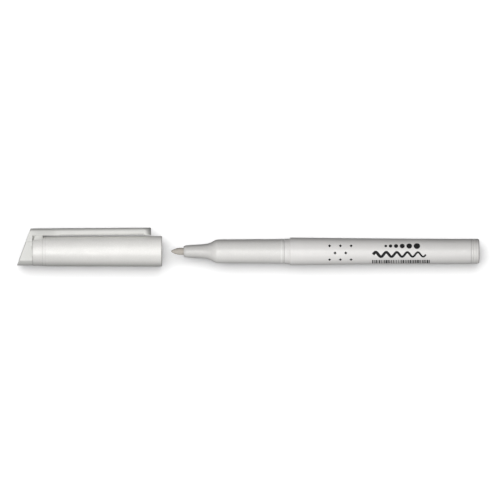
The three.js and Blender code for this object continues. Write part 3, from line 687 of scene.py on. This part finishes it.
# Nib
# A rod of pressed polyester fibre ground to a bullet point. It is cream grey, dry and matt, its
# fibres run lengthwise, and it slides in the nose when it is pressed.
NIB_TIP = -48.8
NIB_BACK = -14.8
NIB_R = 1.45
NIB_POINT = 4.0
NIB_POINT_STEPS = 24
NIB_BLUNT = 0.65
NIB_CHAMFER = 0.3

nib_fibre, tree = new_material("pressed_nib_fibre")
combed = add(tree, "ShaderNodeMapping", {"Vector": place_on(tree), "Scale": (500, 7000, 7000)})
strands = noise(tree, combed, 1.0, 3.0)
between = add(tree, "ShaderNodeValToRGB", {0: strands})
dark_strand, pale_strand = between.color_ramp.elements
dark_strand.position, dark_strand.color = 0.3, (0.415, 0.378, 0.334, 1)
pale_strand.position, pale_strand.color = 0.68, (0.58, 0.546, 0.496, 1)
skinned(tree, strands, 0.5, 0.00006, {
    "Base Color": between, "Roughness": ranged(tree, strands, 0.3, 0.7, 0.78, 0.95)})

nib_point = []
for i in range(1, NIB_POINT_STEPS + 1):
    along_point = (i / NIB_POINT_STEPS) ** 1.6
    nib_point.append((NIB_TIP + NIB_POINT * along_point,
                      NIB_R * math.sin(math.pi / 2 * along_point) ** NIB_BLUNT))
nib = turned("fibre_nib", [
    (NIB_TIP, 0), *nib_point, (NIB_BACK - NIB_CHAMFER, NIB_R), (NIB_BACK, NIB_R - NIB_CHAMFER),
    (NIB_BACK, 0),
], nib_fibre, closed=False, steps=96)
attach(nib, "nib_and_stem")
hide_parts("nib")


# Cap tube
# The long tube of the cap in the same pearl plastic, brighter and glossier than the pen. It
# widens a little toward its rounded mouth, steps down to a band at its closed end, and is
# notched there for the root of the clip.
mouth_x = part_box("cap_tube")[1].x
CAP_MOUTH_R = 6.25
CAP_TUBE_R = 6.075
CAP_BAND_R = 5.9
CAP_BORE_R = 5.3
CAP_BORE_NARROWS = 40.0
CAP_BORE_END_R = 5.0
CAP_BORE_END = 44.0
CAP_THROAT_R = 4.4
CAP_LEDGE = 47.9
CAP_BAND_START = 49.1
CAP_SOCKET_R = 5.2
CAP_TUBE_END = 52.97
NOTCH_START = 48.72
NOTCH_HALF = 3.68
NOTCH_LOW = 3
CAP_PLASTIC = (0.80, 0.79, 0.765, 1)
CAP_GRAIN = (0.95, 0.945, 0.93, 1)
# Dark lines round the tube, as (place, depth): painted shade at its mouth's rim and at the step to
# its band, and the dark joint at its end
CAP_LINES = ((0, 0.9), (CAP_TUBE_END, 0.5), (48.9, 0.25), (47.7, 0.12))

# Where cutting blocks end, clear of what they cut
BEFORE_END = 45
PAST_END = 90
PAST_SIDE = 20

# Painted shade: the tube grows darker toward its closed end
cap_finish = pearl_plastic(
    "pearl_silver_cap", CAP_PLASTIC, CAP_GRAIN,
    [(mouth_x - place * MM, depth) for place, depth in CAP_LINES],
    (mouth_x - CAP_TUBE_END * MM, mouth_x - 20 * MM, 0.93), roughness=0.38, metal=0.06)


def turned_cap(name, outline, finish, **how):
    """A round piece of the cap, its places counted from the cap's mouth toward its closed end."""
    return turned(name, outline, finish, zero=mouth_x, way=-1, **how)


cap_tube = turned_cap("cap_tube_moulding", [
    (0, CAP_BORE_R, 0.3),
    (0, CAP_MOUTH_R, 0.3),
    (CAP_LEDGE, CAP_TUBE_R, 0.25),
    (CAP_BAND_START, CAP_BAND_R, 0.2),
    (CAP_TUBE_END, CAP_BAND_R, 0.1),
    (CAP_TUBE_END, CAP_SOCKET_R),
    (CAP_LEDGE, CAP_SOCKET_R),
    (CAP_LEDGE, CAP_THROAT_R),
    (CAP_BORE_END, CAP_THROAT_R),
    (CAP_BORE_NARROWS, CAP_BORE_END_R),
], cap_finish, steps=192)


def loft(name, loops, zero=mouth_x, way=-1):
    """A block through loops of (place, y, z) along the cap or the pen, closed at both ends."""
    form = bmesh.new()
    rings = [[form.verts.new((zero + way * place * MM, axis_y + y * MM, axis_z + z * MM))
              for place, y, z in loop] for loop in loops]
    form.faces.new(rings[0])
    form.faces.new(rings[-1])
    for near, far in zip(rings, rings[1:]):
        for i in range(len(near)):
            k = (i + 1) % len(near)
            form.faces.new((near[i], far[i], far[k], near[k]))
    bmesh.ops.recalc_face_normals(form, faces=form.faces)
    made = bpy.data.meshes.new(name)
    form.to_mesh(made)
    form.free()
    return linked(name, made)


def prism(name, outline, low, high):
    """A block with that outline of (depth from the cap's mouth, y), from one z to another."""
    return loft(name, [[(depth, y, z) for depth, y in outline] for z in (low, high)])


def combine(piece, other, how):
    """Joins to a piece, cuts from it, or keeps what it shares with another block, now used up."""
    step = piece.modifiers.new(how, "BOOLEAN")
    step.operation = how
    step.solver = "MANIFOLD"
    step.object = other
    plain_mesh(piece)
    bpy.data.objects.remove(other)


combine(cap_tube, prism("notch", [
    (NOTCH_START, NOTCH_LOW), (PAST_END, NOTCH_LOW), (PAST_END, PAST_SIDE),
    (NOTCH_START, PAST_SIDE)], -NOTCH_HALF, NOTCH_HALF), "DIFFERENCE")
smooth(cap_tube)
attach(cap_tube, "cap")
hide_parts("cap_tube")


# Cap end and clip
# One moulding in a greyer, duller plastic: a plug with two flats and a slanted end, and the
# clip that grows out of it, runs along the tube and ends in a bead that grips the pocket.
END_FRONT = 53.05
END_R = 5.8
END_FLAT = 4.4
END_TIP = 59.4
END_SLOPE = 0.3707
END_WALL = 1.1
SPIGOT_FRONT = 49.5
SPIGOT_R = 4.9
HOLLOW_R = 4.1
CLIP_HALF = 2.3
CLIP_UNDER = 6.475
CLIP_OUTER = 9.325
CLIP_TOP = 9.705
CLIP_TIP = 4.5
CLIP_EDGE = 0.5
TIP_UNDER = 6.56
TIP_LENGTH = 2.3
TIP_POWER = 1.6
DOME_HEIGHT = 1.3
DOME_WIDTH = 1.95
BEAD_PLAN = ((7.2, 2.2), (5.6, 2.2), (5.1, 1.95), (4.8, 1.55), (4.6, 1.05))
BEAD_LAYERS = ((TIP_UNDER, 0.2), (6.7, 0), (7.05, 0), (7.2, 0.2))
FOOT_FRONT = 48.8
FOOT_BACK = END_FRONT + 0.13
FOOT_SEAT_R = 5.22
FOOT_HEEL_FRONT = 49.7
FOOT_HEEL_R = 4.53
FOOT_OUTER_R = 8.2
FOOT_HALF = 3.6
FOOT_TOP_HALF = 2.65
ROOT_HALF = 4.25
ROOT_LOW = 3.947
ROOT_END = 53.8
FLARE_END = 41.8
SLIT = ((51.95, 6.4), (52.5, 6.4), (53.15, 4.6), (52.6, 4.6))
SLIT_DEPTH = 1.5
SLANT_EDGE = ((3.95, 0), (4.2, 0.1), (END_FLAT, 0.3), (PAST_SIDE, 0.3))
HAIR = 0.01
END_PLASTIC = (0.65, 0.65, 0.625, 1)
END_GRAIN = (0.75, 0.75, 0.73, 1)
# Painted shade: the upper corner of the clip's tip is painted darker, fading along a slanted way
TIP_SHADE_WAY = 0.7
TIP_SHADE_DARKEST = (4.5, 9.1)
TIP_SHADE_STARTS = (6.6, 8.1)


def toward_tip_shade(depth, y):
    """How far a place on the cap lies toward the upper corner of the clip's tip, where shade is
    painted.
    """
    return TIP_SHADE_WAY * (mouth_x - depth * MM + axis_y + y * MM)


end_finish, tree = new_material("cap_end_plastic")
flake = effect(tree, pearl_flake, Plastic=END_PLASTIC, Grain=END_GRAIN, Amount=0.2)
# Painted shade darkens the clip's tip toward its upper corner
painted_light = effect(tree, tone_along, Color=flake, Direction=(TIP_SHADE_WAY, TIP_SHADE_WAY, 0), Share=0.45,
                Dark_place=toward_tip_shade(*TIP_SHADE_DARKEST), Clear_place=toward_tip_shade(*TIP_SHADE_STARTS))
worn = effect(tree, handling, Roughness=0.5, Smudge=0.08, Scratch=0.05)
skinned(tree, worn.outputs["Height"], 0.3, 0.00003, {
    "Base Color": painted_light, "Metallic": 0.1, "Roughness": worn})

cap_end = turned_cap("cap_end_with_clip", [
    (END_FRONT, 0), (END_FRONT, END_R), (END_TIP, END_R), (END_TIP, 0),
], end_finish, closed=False, steps=192)
combine(cap_end, prism("flats", [
    (BEFORE_END, -PAST_SIDE), (BEFORE_END, PAST_SIDE), (PAST_END, PAST_SIDE),
    (PAST_END, -PAST_SIDE)], -END_FLAT, END_FLAT), "INTERSECT")
spigot_end = END_FRONT + 0.6
combine(cap_end, turned_cap("spigot", [
    (SPIGOT_FRONT, HOLLOW_R), (SPIGOT_FRONT, SPIGOT_R, 0.1), (spigot_end, SPIGOT_R),
    (spigot_end, HOLLOW_R)], end_finish, steps=192), "UNION")


def dome(top, height, width, steps=7):
    """The rounded back of the clip: pairs of (y, inset) from the foot of the bow to its top."""
    bows = [math.pi / 2 * k / steps for k in range(steps + 1)]
    return [(top - height * (1 - math.sin(a)), width * (1 - math.cos(a))) for a in bows]


def level(line, depth):
    """The y at a depth, on a line of (depth, y)."""
    for (a, low), (b, high) in zip(line, line[1:]):
        if a < b and depth <= b:
            return low + (high - low) * (depth - a) / (b - a)
    return line[-1][1]


def both_sides(depth, side):
    """A loop at a depth, from its points of (y, z) on one side."""
    return [(depth, y, z) for y, z in side] + [(depth, y, -z) for y, z in reversed(side)]


under = softened([
    (CLIP_TIP, 7.5), (CLIP_TIP, TIP_UNDER, 0.35), (CLIP_TIP + 2.5, TIP_UNDER, 0.4),
    (CLIP_TIP + 2.9, CLIP_UNDER + 0.38, 0.15), (FOOT_FRONT, CLIP_UNDER, 0.3),
    (END_FRONT, 5.0), (END_TIP, 5.0)])
back = softened([(CLIP_TIP, 8.5), (CLIP_TIP, CLIP_TOP, 0.4), (END_TIP, CLIP_OUTER)])


def arm_section(depth):
    """The loop round the arm at a depth: a domed back, and a flat underside with soft edges."""
    toward_tip = 1 - min(1, max(HAIR, (depth - CLIP_TIP) / TIP_LENGTH))
    half = CLIP_HALF * (1 - toward_tip ** TIP_POWER) ** (1 / TIP_POWER)
    low, high = level(under, depth), level(back, depth)
    edge = min(CLIP_EDGE, 0.3 * half)
    bow_back = dome(high, DOME_HEIGHT, min(DOME_WIDTH, 0.75 * half))
    return both_sides(depth, [(low, half - edge), (low + edge, half),
                              *((y, half - inset) for y, inset in bow_back)])


def slab(name, halves, layers):
    """A slab with those (depth, half width), drawn in at each of its layers of (y, inset)."""
    return loft(name, [
        [(d, y, w - inset) for d, w in halves] + [(d, y, inset - w) for d, w in reversed(halves)]
        for y, inset in layers])


def s_curve(start, end, steps):
    """Points of a smooth sideways move from one (depth, half width) to another."""
    made = []
    for k in range(steps + 1):
        t = k / steps
        ease = t * t * (3 - 2 * t)
        made.append((start[0] + (end[0] - start[0]) * t, start[1] + (end[1] - start[1]) * ease))
    return made


stations = [CLIP_TIP + TIP_LENGTH * (k / 14) ** 2 for k in range(15)]
stations += [depth for depth, y in under + back]
arm = loft("arm", [arm_section(depth) for depth in sorted({round(d, 3) for d in stations})])
combine(arm, slab("bead", BEAD_PLAN, BEAD_LAYERS), "UNION")
combine(arm, slab("root", [
    (62, ROOT_HALF), *s_curve((ROOT_END, ROOT_HALF), (FLARE_END, CLIP_HALF - 0.1), 16),
], [(CLIP_UNDER, 0.1), (CLIP_UNDER + 0.1, 0), *dome(CLIP_OUTER - HAIR, DOME_HEIGHT, DOME_WIDTH)]),
        "UNION")
combine(arm, prism("root_back", [
    (END_TIP, 7.5), (END_TIP, ROOT_LOW), (END_FRONT, ROOT_LOW), (END_FRONT, 7.5),
], HAIR - ROOT_HALF, ROOT_HALF - HAIR), "UNION")

foot = turned_cap("foot", [
    (FOOT_FRONT, FOOT_SEAT_R), (FOOT_FRONT, FOOT_OUTER_R, 0.2), (FOOT_BACK, FOOT_OUTER_R),
    (FOOT_BACK, FOOT_HEEL_R), (FOOT_HEEL_FRONT, FOOT_HEEL_R), (FOOT_HEEL_FRONT, FOOT_SEAT_R),
], end_finish)
foot_side = [(2.5, FOOT_HALF - HAIR), (4.6, FOOT_HALF - HAIR), (6.4, FOOT_TOP_HALF),
             (7.4, FOOT_TOP_HALF)]
combine(foot, loft("foot_sides", [
    both_sides(depth, foot_side) for depth in (BEFORE_END, PAST_END)]), "INTERSECT")
combine(arm, foot, "UNION")
combine(cap_end, arm, "UNION")


def slant(wall):
    """Depth of the slanted end, less a wall, at the far bottom and the far top."""
    return [(END_TIP - wall - (y + END_R) * END_SLOPE, y) for y in (-PAST_SIDE, PAST_SIDE)]


# The cut goes a little deeper toward both long edges of the slant, which rounds them off
insets = [(-z, inset) for z, inset in reversed(SLANT_EDGE)] + list(SLANT_EDGE)
combine(cap_end, loft("slant", [
    [(depth, y, z)
     for depth, y in (*slant(inset), (PAST_END, PAST_SIDE), (PAST_END, -PAST_SIDE))]
    for z, inset in insets]), "DIFFERENCE")
hollow = turned_cap("hollow", [
    (END_FRONT - 0.2, 0), (END_FRONT - 0.2, HOLLOW_R), (END_TIP, HOLLOW_R), (END_TIP, 0),
], end_finish, closed=False)
combine(hollow, prism("hollow_room", [
    *slant(END_WALL), (BEFORE_END, PAST_SIDE), (BEFORE_END, -PAST_SIDE),
], END_WALL - END_FLAT, END_FLAT - END_WALL), "INTERSECT")
combine(cap_end, hollow, "DIFFERENCE")
slit_floor = FOOT_HALF - SLIT_DEPTH
for low, high in ((slit_floor, PAST_SIDE), (-PAST_SIDE, -slit_floor)):
    combine(cap_end, prism("slit", SLIT, low, high), "DIFFERENCE")


def one_finish(piece, finish, sharp=32):
    """One material for all of a joined piece, and its faces smoothed."""
    piece.data.materials.clear()
    piece.data.materials.append(finish)
    smooth(piece, sharp)


one_finish(cap_end, end_finish, 28)
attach(cap_end, "cap")
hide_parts("cap_end_clip")


# Cap liner
# A thin cup of natural polypropylene inside the cap. It closes on the nose so that the nib
# can't dry, and is held by its flange between the tube's ledge and the cap's end.
LINER_MOUTH = 37.1
LINER_R = 3.7
LINER_BORE_R = 3.1
LINER_FLOOR = 49.9
LINER_END = 50.5
FLANGE = (48.2, 49.2)

natural_plastic, tree = new_material("natural_polypropylene")
worn = effect(tree, handling, Roughness=0.45, Smudge=0.08, Scratch=0.04)
milky = noise(tree, place_on(tree), 350.0, 3.0)
skinned(tree, worn.outputs["Height"], 0.3, 0.00003, {
    "Base Color": mixed(tree, milky, (0.74, 0.74, 0.70, 1), (0.84, 0.84, 0.81, 1)),
    "Roughness": worn, "Subsurface Weight": 0.1, "Subsurface Radius": (0.001, 0.001, 0.001)})

liner = turned_cap("cap_liner_cup", [
    (LINER_END, 0),
    (LINER_END, LINER_R, 0.1),
    (FLANGE[1], LINER_R),
    (FLANGE[1], SPIGOT_R, 0.1),
    (FLANGE[0], SPIGOT_R, 0.1),
    (FLANGE[0], LINER_R),
    (LINER_MOUTH, LINER_R, 0.12),
    (LINER_MOUTH, LINER_BORE_R, 0.2),
    (LINER_FLOOR, LINER_BORE_R, 0.2),
    (LINER_FLOOR, 0),
], natural_plastic, closed=False, steps=128)
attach(liner, "cap")
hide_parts("cap_liner")


# Valve seat and tank gasket
# Two soft rubber rings: the seat that the stem's cone closes against, and the flat ring that
# seals the tank round the cage.
SEAT_FRONT = -0.2
SEAT_BACK = 1.3
SEAT_R = 3.3
SEAT_HOLE_R = 1.5
SEAT_CONE_FRONT = 0.7
SEAT_CONE_R = 1.8
GASKET_FRONT = 5.4
GASKET_BACK = 6.2
GASKET_R = 4.25
GASKET_HOLE_R = 3.6

soft_seal, tree = new_material("black_nitrile_rubber")
bloom = noise(tree, place_on(tree), 900.0, 4.0)
skinned(tree, bloom, 0.4, 0.00004, {
    "Base Color": mixed(tree, bloom, (0.03, 0.03, 0.032, 1), (0.06, 0.06, 0.062, 1)),
    "Roughness": effect(tree, handling, Roughness=0.72, Smudge=0.12, Scratch=0.02)})

seat = turned("valve_seat_ring", [
    (SEAT_FRONT, SEAT_HOLE_R, 0.08),
    (SEAT_FRONT, SEAT_R, 0.15),
    (SEAT_BACK, SEAT_R, 0.15),
    (SEAT_BACK, SEAT_CONE_R, 0.08),
    (SEAT_CONE_FRONT, SEAT_HOLE_R, 0.08),
], soft_seal, steps=96)
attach(seat, "pen")
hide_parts("valve_seat")

gasket = turned("tank_gasket_ring", [
    (GASKET_FRONT, GASKET_HOLE_R, 0.1),
    (GASKET_FRONT, GASKET_R, 0.1),
    (GASKET_BACK, GASKET_R, 0.1),
    (GASKET_BACK, GASKET_HOLE_R, 0.1),
], soft_seal, steps=96)
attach(gasket, "pen")
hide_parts("tank_gasket")


# Valve stem
# Natural polypropylene: a socket that grips the nib's back end and slides on four fins, a thin
# rod through the seat, the cone that closes it, and a pin that keeps the spring straight.
SOCKET_FRONT = -18.2
SOCKET_FLOOR = -14.5
SOCKET_R = 2.25
ROD_R = 0.9
CONE_R = 2.1
PIN_R = 1.1
PIN_END = 7.2
FIN_COUNT = 4
FIN_CORNERS = ((-18.0, 2.0, -0.3), (-13.9, 2.48, 0.3))


def block(name, low, high, turn):
    """A block between two corners in (place, y, z) on the pen, turned round the pen's axis."""
    corners = ((low[1], low[2]), (high[1], low[2]), (high[1], high[2]), (low[1], high[2]))
    return loft(name, [
        [(place, y * math.cos(turn) - z * math.sin(turn), y * math.sin(turn) + z * math.cos(turn))
         for y, z in corners] for place in (low[0], high[0])], step_x, 1)


stem = turned("valve_stem_moulding", [
    (SOCKET_FLOOR, 0),
    (SOCKET_FLOOR, NIB_BORE_R),
    (SOCKET_FRONT, NIB_BORE_R, 0.08),
    (SOCKET_FRONT, SOCKET_R, 0.1),
    (-13.8, SOCKET_R, 0.15),
    (-13.3, ROD_R, 0.15),
    (1.0, ROD_R),
    (2.2, CONE_R, 0.1),
    (2.7, CONE_R, 0.1),
    (2.7, PIN_R),
    (PIN_END, PIN_R, 0.3),
    (PIN_END, 0),
], natural_plastic, closed=False, steps=96)
for i in range(FIN_COUNT):
    fin = block("fin", *FIN_CORNERS, 2 * math.pi * i / FIN_COUNT)
    combine(stem, fin, "UNION")
one_finish(stem, natural_plastic)
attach(stem, "nib_and_stem")
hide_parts("valve_stem")


# Valve cage
# A thin moulded basket with four tall windows for the paint. Its sleeve sits in the front
# section, its flange under the barrel's ledge, and its floor carries the spring.
CAGE_FRONT = 1.6
CAGE_FLANGE = (4.3, 5.1)
CAGE_FLOOR = 14.2
CAGE_END = 15.0
CAGE_R = 3.3
BASKET_R = 2.7
WINDOW_COUNT = 4
WINDOW_CORNERS = ((6.2, 1.4, -1.1), (13.6, 4.0, 1.1))
DRAIN_R = 1.2

cage = turned("valve_cage_basket", [
    (CAGE_FRONT, BASKET_R),
    (CAGE_FRONT, CAGE_R, 0.1),
    (CAGE_FLANGE[0], CAGE_R),
    (CAGE_FLANGE[0], TENON_R, 0.08),
    (CAGE_FLANGE[1], TENON_R, 0.08),
    (CAGE_FLANGE[1], CAGE_R),
    (CAGE_END, CAGE_R, 0.3),
    (CAGE_END, DRAIN_R, 0.1),
    (CAGE_FLOOR, DRAIN_R, 0.1),
    (CAGE_FLOOR, BASKET_R),
], natural_plastic, steps=96)
for i in range(WINDOW_COUNT):
    window = block("window", *WINDOW_CORNERS, 2 * math.pi * (i + 0.5) / WINDOW_COUNT)
    combine(cage, window, "DIFFERENCE")
one_finish(cage, natural_plastic)
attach(cage, "pen")
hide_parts("valve_cage")


# Valve spring
# Drawn steel wire wound in six open turns. Its front rests on the stem's head and its back on
# the cage's floor, so it shortens when the nib is pressed.
SPRING_FRONT = 3.2
SPRING_BACK = 13.7
SPRING_TURNS = 6.0
SPRING_R = 1.6
WIRE_R = 0.2

drawn_wire, tree = new_material("drawn_spring_wire")
drawn_lines = noise(tree, place_on(tree), 5000.0, 3.0)
skinned(tree, drawn_lines, 0.2, 0.00001, {
    "Base Color": mixed(tree, drawn_lines, (0.42, 0.43, 0.45, 1), (0.58, 0.59, 0.60, 1)),
    "Metallic": 1.0, "Roughness": ranged(tree, drawn_lines, 0.3, 0.7, 0.22, 0.36)})

coil, given = node_group("wound spring", "GeometryNodeTree", {
    "Turns": ("Float", SPRING_TURNS), "Length": "Float", "Mean radius": "Float",
    "Wire radius": "Float", "Front": "Vector", "Finish": "Material"}, {"Spring": "Geometry"})
spiral = add(coil, "GeometryNodeCurveSpiral",
             {"Resolution": 40, "Rotations": given["Turns"], "Start Radius": given["Mean radius"],
              "End Radius": given["Mean radius"], "Height": given["Length"]})
section = add(coil, "GeometryNodeCurvePrimitiveCircle",
              {"Resolution": 12, "Radius": given["Wire radius"]})
wire = add(coil, "GeometryNodeCurveToMesh",
           {"Curve": spiral, "Profile Curve": section, "Fill Caps": True})
laid = add(coil, "GeometryNodeTransform",
           {"Geometry": wire, "Translation": given["Front"], "Rotation": TO_X_AXIS})
real_mesh(coil, laid, given["Finish"])

spring_front = (step_x + SPRING_FRONT * MM, axis_y, axis_z)
spring = by_nodes("valve_spring_coil", coil, {
    "Turns": SPRING_TURNS, "Length": (SPRING_BACK - SPRING_FRONT) * MM,
    "Mean radius": SPRING_R * MM, "Wire radius": WIRE_R * MM, "Front": spring_front,
    "Finish": drawn_wire})
smooth(spring, 60)
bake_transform(spring)
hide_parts("valve_spring")


# Mixing ball
# A loose steel ball in the tank that stirs the paint when the pen is shaken, ground and
# polished, with the faint rub marks of its life in the tank.
ball_low, ball_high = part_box("mixing_ball")
BALL_R = (ball_high.x - ball_low.x) / 2 / MM
ball_middle = (ball_low + ball_high) / 2

ball_steel, tree = new_material("polished_ball_steel")
rubs = noise(tree, place_on(tree), 1200.0, 5.0)
skinned(tree, rubs, 0.15, 0.00001, {
    "Base Color": mixed(tree, rubs, (0.58, 0.58, 0.59, 1), (0.7, 0.7, 0.7, 1)),
    "Metallic": 1.0, "Roughness": ranged(tree, rubs, 0.35, 0.7, 0.1, 0.28)})

half_turn = [(BALL_R * math.cos(math.pi * i / 48), BALL_R * math.sin(math.pi * i / 48))
             for i in range(1, 48)]
ball = turned("mixing_ball_polished", [(BALL_R, 0), *half_turn, (-BALL_R, 0)], ball_steel,
              closed=False, zero=ball_middle.x, steps=96)
for corner in ball.data.vertices:
    corner.co.z += ball_middle.z - axis_z
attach(ball, "ball")
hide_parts("mixing_ball")


# Where each lamp falls
# The table's lamp lights the table alone, and the cap's lamps its tube and liner. The pen's
# lamps light all the rest: the pen, and the cap's end with its clip.
for light, state, pieces in (
        (table_light, "INCLUDE", (table,)),
        (cap_light, "INCLUDE", (cap_tube, liner)), (cap_window, "INCLUDE", (cap_tube, liner)),
        (pen_light, "EXCLUDE", (table, cap_tube, liner)),
        (pen_window, "EXCLUDE", (table, cap_tube, liner))):
    chosen = bpy.data.collections.new(light.name + "_falls_on")
    light.light_linking.receiver_collection = chosen
    for piece in pieces:
        chosen.objects.link(piece)
    for entry in chosen.collection_objects:
        entry.light_linking.link_state = state
